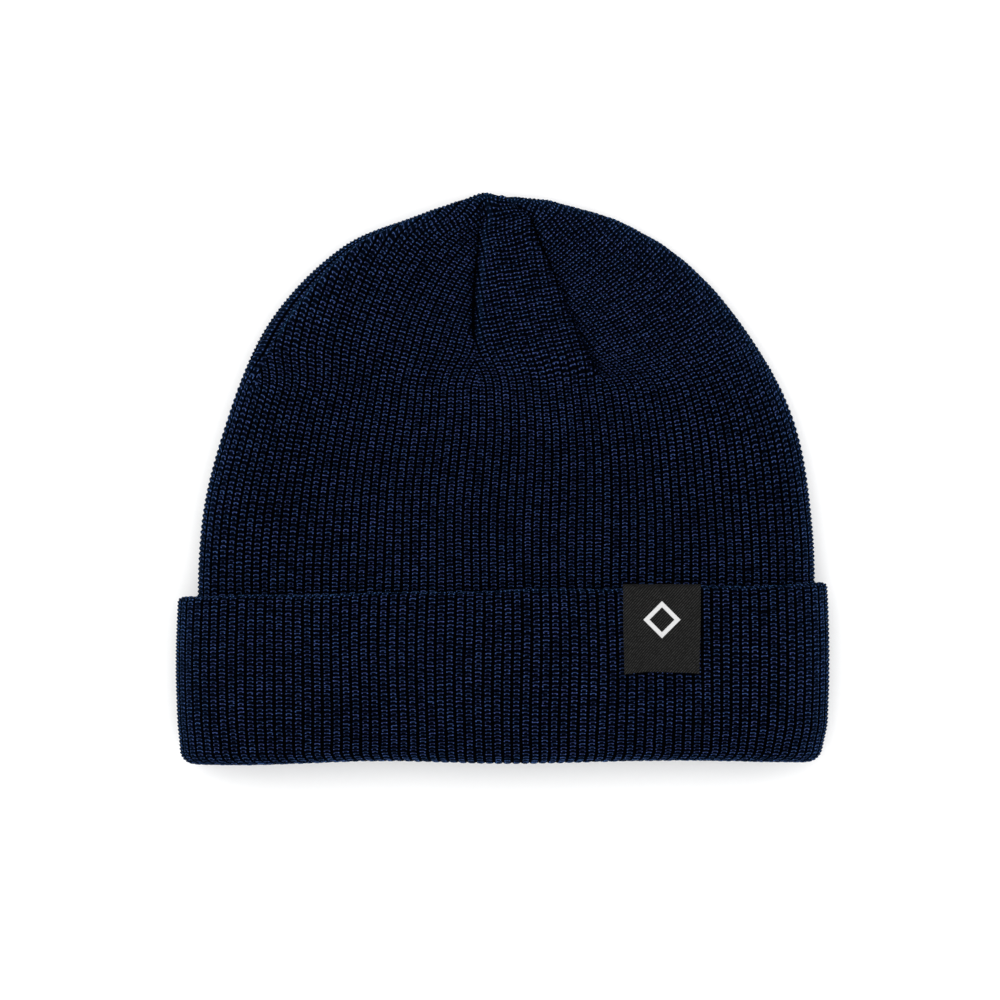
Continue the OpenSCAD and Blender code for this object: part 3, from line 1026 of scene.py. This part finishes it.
class Shader:
    """A material whose colour and relief are worked out by nodes."""

    def __init__(self, name, **sockets):
        self.material = bpy.data.materials.new(name)
        self.material.use_nodes = True
        self.tree = self.material.node_tree
        self.surface = self.tree.nodes["Principled BSDF"]
        for socket, value in sockets.items():
            self.surface.inputs[socket.replace("_", " ")].default_value = value

    def node(self, kind, inputs=(), **settings):
        node = self.tree.nodes.new("ShaderNode" + kind)
        for name, value in settings.items():
            setattr(node, name, value)
        for socket, value in dict(inputs).items():
            self.put(value, node.inputs[socket])
        return node

    def put(self, value, socket):
        if isinstance(value, bpy.types.NodeSocket):
            self.tree.links.new(value, socket)
        else:
            socket.default_value = value

    def math(self, operation, *values):
        return self.node("Math", enumerate(values), operation=operation).outputs[0]

    def add(self, a, b):
        return self.math("ADD", a, b)

    def sub(self, a, b):
        return self.math("SUBTRACT", a, b)

    def mul(self, a, b):
        return self.math("MULTIPLY", a, b)

    def floor(self, x):
        return self.math("FLOOR", x)

    def off_middle(self, wale):
        """How far a point is from the middle of its wale, 0 to 1."""
        return self.math("ABSOLUTE", self.sub(self.mul(self.math("FRACT", wale), 2.0), 1.0))

    def hill(self, x, middle, width):
        """A bell curve of x."""
        off = self.math("DIVIDE", self.sub(x, middle), width)
        return self.math("EXPONENT", self.mul(self.mul(off, off), -1.0))

    def step(self, x, start, end):
        """A smooth step of x, from 0 at start to 1 at end."""
        inputs = {0: x, 1: start, 2: end}
        return self.node("MapRange", inputs, interpolation_type="SMOOTHSTEP").outputs[0]

    def blend(self, factor, a, b):
        """Colour a where the factor is 0, and b where it is 1."""
        node = self.node("Mix", data_type="RGBA")
        for socket, value in ((0, factor), (6, a), (7, b)):
            self.put(value, node.inputs[socket])
        return node.outputs[2]

    def random(self, x, y, seed):
        """A random number for each whole x and y."""
        at = self.node("CombineXYZ", {0: x, 1: y, 2: seed}).outputs[0]
        return self.node("TexWhiteNoise", {0: at}, noise_dimensions="3D").outputs[0]

    def vary(self, least_and_spread, x, y, seed):
        """A random value between two limits for each whole x and y."""
        least, spread = least_and_spread
        return self.add(least, self.mul(self.random(x, y, seed), spread))

    def position(self):
        return self.node("NewGeometry").outputs["Position"]

    def noise(self, scale, detail=2.0):
        """Soft noise by place, with so many waves in a metre."""
        inputs = {"Vector": self.position(), "Scale": scale, "Detail": detail}
        return self.node("TexNoise", inputs).outputs[0]

    def given(self, name):
        """A value that the mesh stores at its points."""
        return self.node("Attribute", attribute_name=name).outputs["Fac"]

    def uv(self, name):
        node = self.node("SeparateXYZ", {0: self.node("UVMap", uv_map=name).outputs[0]})
        return node.outputs[0], node.outputs[1]

    def relief(self, height, distance, strength=1.0):
        inputs = {"Height": height, "Distance": distance, "Strength": strength}
        self.put(self.node("Bump", inputs).outputs[0], self.surface.inputs["Normal"])

    def colour(self, value):
        self.put(value, self.surface.inputs["Base Color"])
        return self.material


# One loop of the knit, drawn as painted highlights on its legs and head. Across it, 0 is the middle
# of its wale and 1 the gap beside it, and along it, 1 is a whole course. A pair is the least of a
# random value, and its spread.
LEG_ACROSS, LEG_ALONG = (0.41, 0.18), (0.28, 0.4)
LEG_WIDTH, LEG_LENGTH = 0.098, 0.112
HEAD_ALONG, HEAD_LIGHT = (0.62, 0.2), (0.12, 0.26)
HEAD_WIDTH, HEAD_END, HEAD_FADE, ARCH = 0.08, 0.45, 0.25, 0.35
GAP_START, GAP_STEP = 0.66, 0.16
LOOP_RELIEF, RIB_SHARE = 0.35 * MM, 0.6
BY_STITCH, BY_LEG, BY_PATCH = (0.75, 0.5), (0.5, 1.0), (0.6, 0.8)
PATCH_SCALE = 55.0
# How those change where the knit is tight.
TIGHT_LEG, TIGHT_HEAD_END, TIGHT_HEAD_LIGHT, TIGHT_ARCH = -0.02, 0.3, -0.65, -0.2
TIGHT_GAP, TIGHT_LIGHT, DART_PAINTED_SHADE = 0.12, 0.78, -0.85

# Painted shade in the gaps between the ribs.
GAP_PAINTED_SHADE = (0.0001, 0.0001, 0.0003, 1)
# Painted shade: the yarn between the loops' painted highlights.
YARN_SHADE = (0.0003, 0.0005, 0.0017, 1)
# Painted highlight colours of the loops, teal or violet at random by stitch.
PAINTED_HIGHLIGHT_TEAL = (0.057, 0.115, 0.315, 1)
PAINTED_HIGHLIGHT_VIOLET = (0.073, 0.108, 0.325, 1)
# Painted sheen at the folds: the loops' highlight colour there, and the lighter teal ground under it.
PAINTED_SHEEN_HIGHLIGHT = (0.047, 0.138, 0.33, 1)
PAINTED_SHEEN_SHADE = (0.0015, 0.0065, 0.0170, 1)
SHEEN = (0.18, 0.44, 1.0, 1)

# A dark and a light colour of each of the other materials.
THREAD_COLOURS = (0.006, 0.009, 0.024, 1), (0.018, 0.026, 0.062, 1)
TAPE_COLOURS = (0.0010, 0.0010, 0.0010, 1), (0.027, 0.0267, 0.026, 1)
SATIN_COLOURS = (0.42, 0.42, 0.42, 1), (0.62, 0.62, 0.62, 1)
PAPER_COLOURS = (0.93, 0.93, 0.93, 1), (0.95, 0.95, 0.95, 1)


def knit_loops(m, u, v, tight):
    """How strong the painted highlight on the yarn is over a loop: on its two legs, and less on the
    head between them.
    """
    wale, course, leg = m.floor(u), m.floor(v), m.floor(m.mul(u, 2.0))
    off, in_course = m.off_middle(u), m.math("FRACT", v)
    leg_off = m.vary(LEG_ACROSS, leg, course, 5.0)
    leg_height = m.vary(LEG_ALONG, leg, course, 1.0)
    leg_length = m.add(LEG_LENGTH, m.mul(tight, TIGHT_LEG))
    legs = m.mul(m.hill(off, leg_off, LEG_WIDTH), m.hill(in_course, leg_height, leg_length))
    arch = m.mul(m.mul(off, off), m.add(ARCH, m.mul(tight, TIGHT_ARCH)))
    head_height = m.vary(HEAD_ALONG, wale, course, 7.0)
    head = m.hill(in_course, m.sub(head_height, arch), HEAD_WIDTH)
    head_end = m.add(HEAD_END, m.mul(tight, TIGHT_HEAD_END))
    head = m.mul(head, m.sub(1.0, m.step(off, head_end, m.add(head_end, HEAD_FADE))))
    head_light = m.vary(HEAD_LIGHT, wale, course, 8.0)
    head_light = m.mul(head_light, m.add(1.0, m.mul(tight, TIGHT_HEAD_LIGHT)))
    return m.math("MAXIMUM", legs, m.mul(head, head_light))


def knit_light(m, u, v, fold, tight):
    """How bright the yarn's painted highlights are: by stitch, by leg, in soft patches, with a
    painted sheen at the folds, and more where the knit is tight.
    """
    course = m.floor(v)
    by_stitch = m.vary(BY_STITCH, m.floor(u), course, 2.0)
    by_leg = m.vary(BY_LEG, m.floor(m.mul(u, 2.0)), course, 6.0)
    patch = m.noise(PATCH_SCALE)
    bright = m.mul(m.mul(by_stitch, by_leg), m.add(BY_PATCH[0], m.mul(patch, BY_PATCH[1])))
    return m.mul(bright, m.add(1.0, m.add(fold, m.mul(tight, TIGHT_LIGHT))))


def knit_material():
    """Navy merino rib: each wale is a ladder of loops, with painted highlights on their legs and
    heads over painted shade.
    """
    sheen = {"Sheen_Weight": 0.19, "Sheen_Roughness": 0.12, "Sheen_Tint": SHEEN}
    m = Shader("navy_rib_knit", Roughness=0.8, Specular_IOR_Level=0.006, **sheen)
    u, v = m.uv("stitch")
    tight, fold, near_dart = m.given("tight"), m.given("fold"), m.given("dart")
    loop = knit_loops(m, u, v, tight)
    tint = m.blend(m.random(m.floor(u), m.floor(v), 3.0), PAINTED_HIGHLIGHT_TEAL, PAINTED_HIGHLIGHT_VIOLET)
    # Painted sheen at the folds: teal highlights, and a lighter teal ground under them.
    tint = m.blend(fold, tint, PAINTED_SHEEN_HIGHLIGHT)
    # Painted shade: the gaps between the ribs are coloured near black, narrower where the knit is
    # tight.
    gap_start = m.add(GAP_START, m.mul(tight, TIGHT_GAP))
    on_rib = m.sub(1.0, m.step(m.off_middle(u), gap_start, m.add(gap_start, GAP_STEP)))
    base = m.blend(on_rib, GAP_PAINTED_SHADE, m.blend(fold, YARN_SHADE, PAINTED_SHEEN_SHADE))
    # Painted highlights on the loops' legs and heads, laid over the painted shade.
    lit = m.mul(loop, knit_light(m, u, v, fold, tight))
    # Painted shade beside the darts: the loops' highlights are dimmed there.
    lit = m.mul(lit, m.add(1.0, m.mul(near_dart, DART_PAINTED_SHADE)))
    m.relief(m.add(loop, m.mul(on_rib, RIB_SHARE)), LOOP_RELIEF, 0.8)
    return m.colour(m.blend(lit, base, tint))


def thread_material():
    """Navy polyester sewing thread, with the fine lay of its filaments."""
    m = Shader("navy_thread", Roughness=0.5, Specular_IOR_Level=0.3, Sheen_Weight=0.1)
    inputs = {"Vector": m.position(), "Scale": 900.0, "Distortion": 2.0}
    lay = m.node("TexWave", inputs).outputs[1]
    m.relief(lay, 0.06 * MM, 0.6)
    return m.colour(m.blend(lay, *THREAD_COLOURS))


def tape_material():
    """Black woven label tape: a steep twill of fine shiny threads, with a painted highlight on the
    twill's ridges.
    """
    m = Shader("label_tape", Roughness=0.6, Specular_IOR_Level=0.06)
    x, run = m.uv("weave")
    slant = m.sub(m.math("DIVIDE", x, TWILL_PITCH), m.math("DIVIDE", run, TWILL_RISE))
    rib = m.add(0.5, m.mul(m.math("SINE", m.mul(slant, 2 * math.pi)), 0.5))
    pick = m.floor(m.math("DIVIDE", run, TAPE_PICK))
    end = m.floor(m.math("DIVIDE", x, TAPE_PICK))
    grain = m.random(m.floor(slant), pick, 1.0)
    cross = m.random(end, pick, 2.0)
    # Painted highlight on the twill's ridges, with each thread's tone varying at random.
    light = m.mul(m.math("POWER", rib, 1.5), m.add(m.mul(grain, 0.7), m.mul(cross, 0.6)))
    m.relief(light, 0.08 * MM, 0.7)
    return m.colour(m.blend(light, *TAPE_COLOURS))


def mark_material():
    """White satin-stitched thread of the label's mark."""
    m = Shader("white_satin_thread", Roughness=0.5, Specular_IOR_Level=0.35)
    fibre = m.noise(2500.0, detail=3.0)
    m.relief(fibre, 0.04 * MM, 0.4)
    return m.colour(m.blend(fibre, *SATIN_COLOURS))


def paper_material():
    """The plain pale floor."""
    m = Shader("pale_floor", Roughness=0.9, Specular_IOR_Level=0.0)
    grain = m.noise(400.0)
    m.relief(grain, 0.05 * MM, 0.1)
    return m.colour(m.blend(grain, *PAPER_COLOURS))


# ---- Floor, light and camera ----

FLOOR_SIZE = 3.0
WORLD_LIGHT = 1.15
LIGHT_SIZE = 1.4
LIGHTS = [  # name, place, watts and tint
    ("key", (-0.35, 0.55, 1.5), 10.0, (1, 1, 1)),
    ("fill", (0.6, -0.5, 1.4), 4.5, (0.95, 0.97, 1.0)),
]
LENS, SENSOR = 150, 36  # millimetres
PICTURE_WIDTH = 1.527 * (CUFF_HIGH[0] - CUFF_LOW[0])  # at the cuff's edge
CAMERA_X, CAMERA_Y = -0.9 * MM, -7.2 * MM


def make_floor(material):
    corners = np.array([(-1, -1, 0), (1, -1, 0), (1, 1, 0), (-1, 1, 0)], float) * FLOOR_SIZE / 2
    floor = new_mesh("floor", corners, np.array([[0, 1, 2, 3]]))
    floor.data.materials.append(material)


def make_light(name, place, watts, tint):
    light = bpy.data.lights.new(name, "AREA")
    light.size = LIGHT_SIZE
    light.energy = watts
    light.color = tint
    obj = bpy.data.objects.new(name, light)
    obj.location = place
    obj.rotation_euler = (-Vector(place)).to_track_quat("-Z", "Y").to_euler()
    bpy.context.scene.collection.objects.link(obj)


def make_world():
    world = bpy.data.worlds.new("studio")
    world.use_nodes = True
    background = world.node_tree.nodes["Background"]
    background.inputs["Color"].default_value = (1, 1, 1, 1)
    background.inputs["Strength"].default_value = WORLD_LIGHT
    bpy.context.scene.world = world


def make_camera():
    """Straight above the hat, with the crown to the top of the picture."""
    camera = bpy.data.cameras.new("camera")
    camera.lens = LENS
    camera.sensor_width = SENSOR
    camera.clip_end = 10
    obj = bpy.data.objects.new("camera", camera)
    obj.location = (CAMERA_X, CAMERA_Y, NECK_Z + PICTURE_WIDTH * LENS / SENSOR)
    bpy.context.scene.collection.objects.link(obj)
    bpy.context.scene.camera = obj


def make_studio():
    make_world()
    for light in LIGHTS:
        make_light(*light)
    make_camera()
    bpy.context.scene.view_settings.view_transform = "Standard"


def main():
    knit, thread = knit_material(), thread_material()
    make_floor(paper_material())
    lining_piece(knit)
    crown_piece(knit)
    seam_pieces(thread)
    tack_piece(thread)
    backing_piece(knit)
    cuff_piece(knit)
    mark_piece(mark_material())
    label_piece(tape_material())
    tail_stitches(thread)
    make_studio()


main()
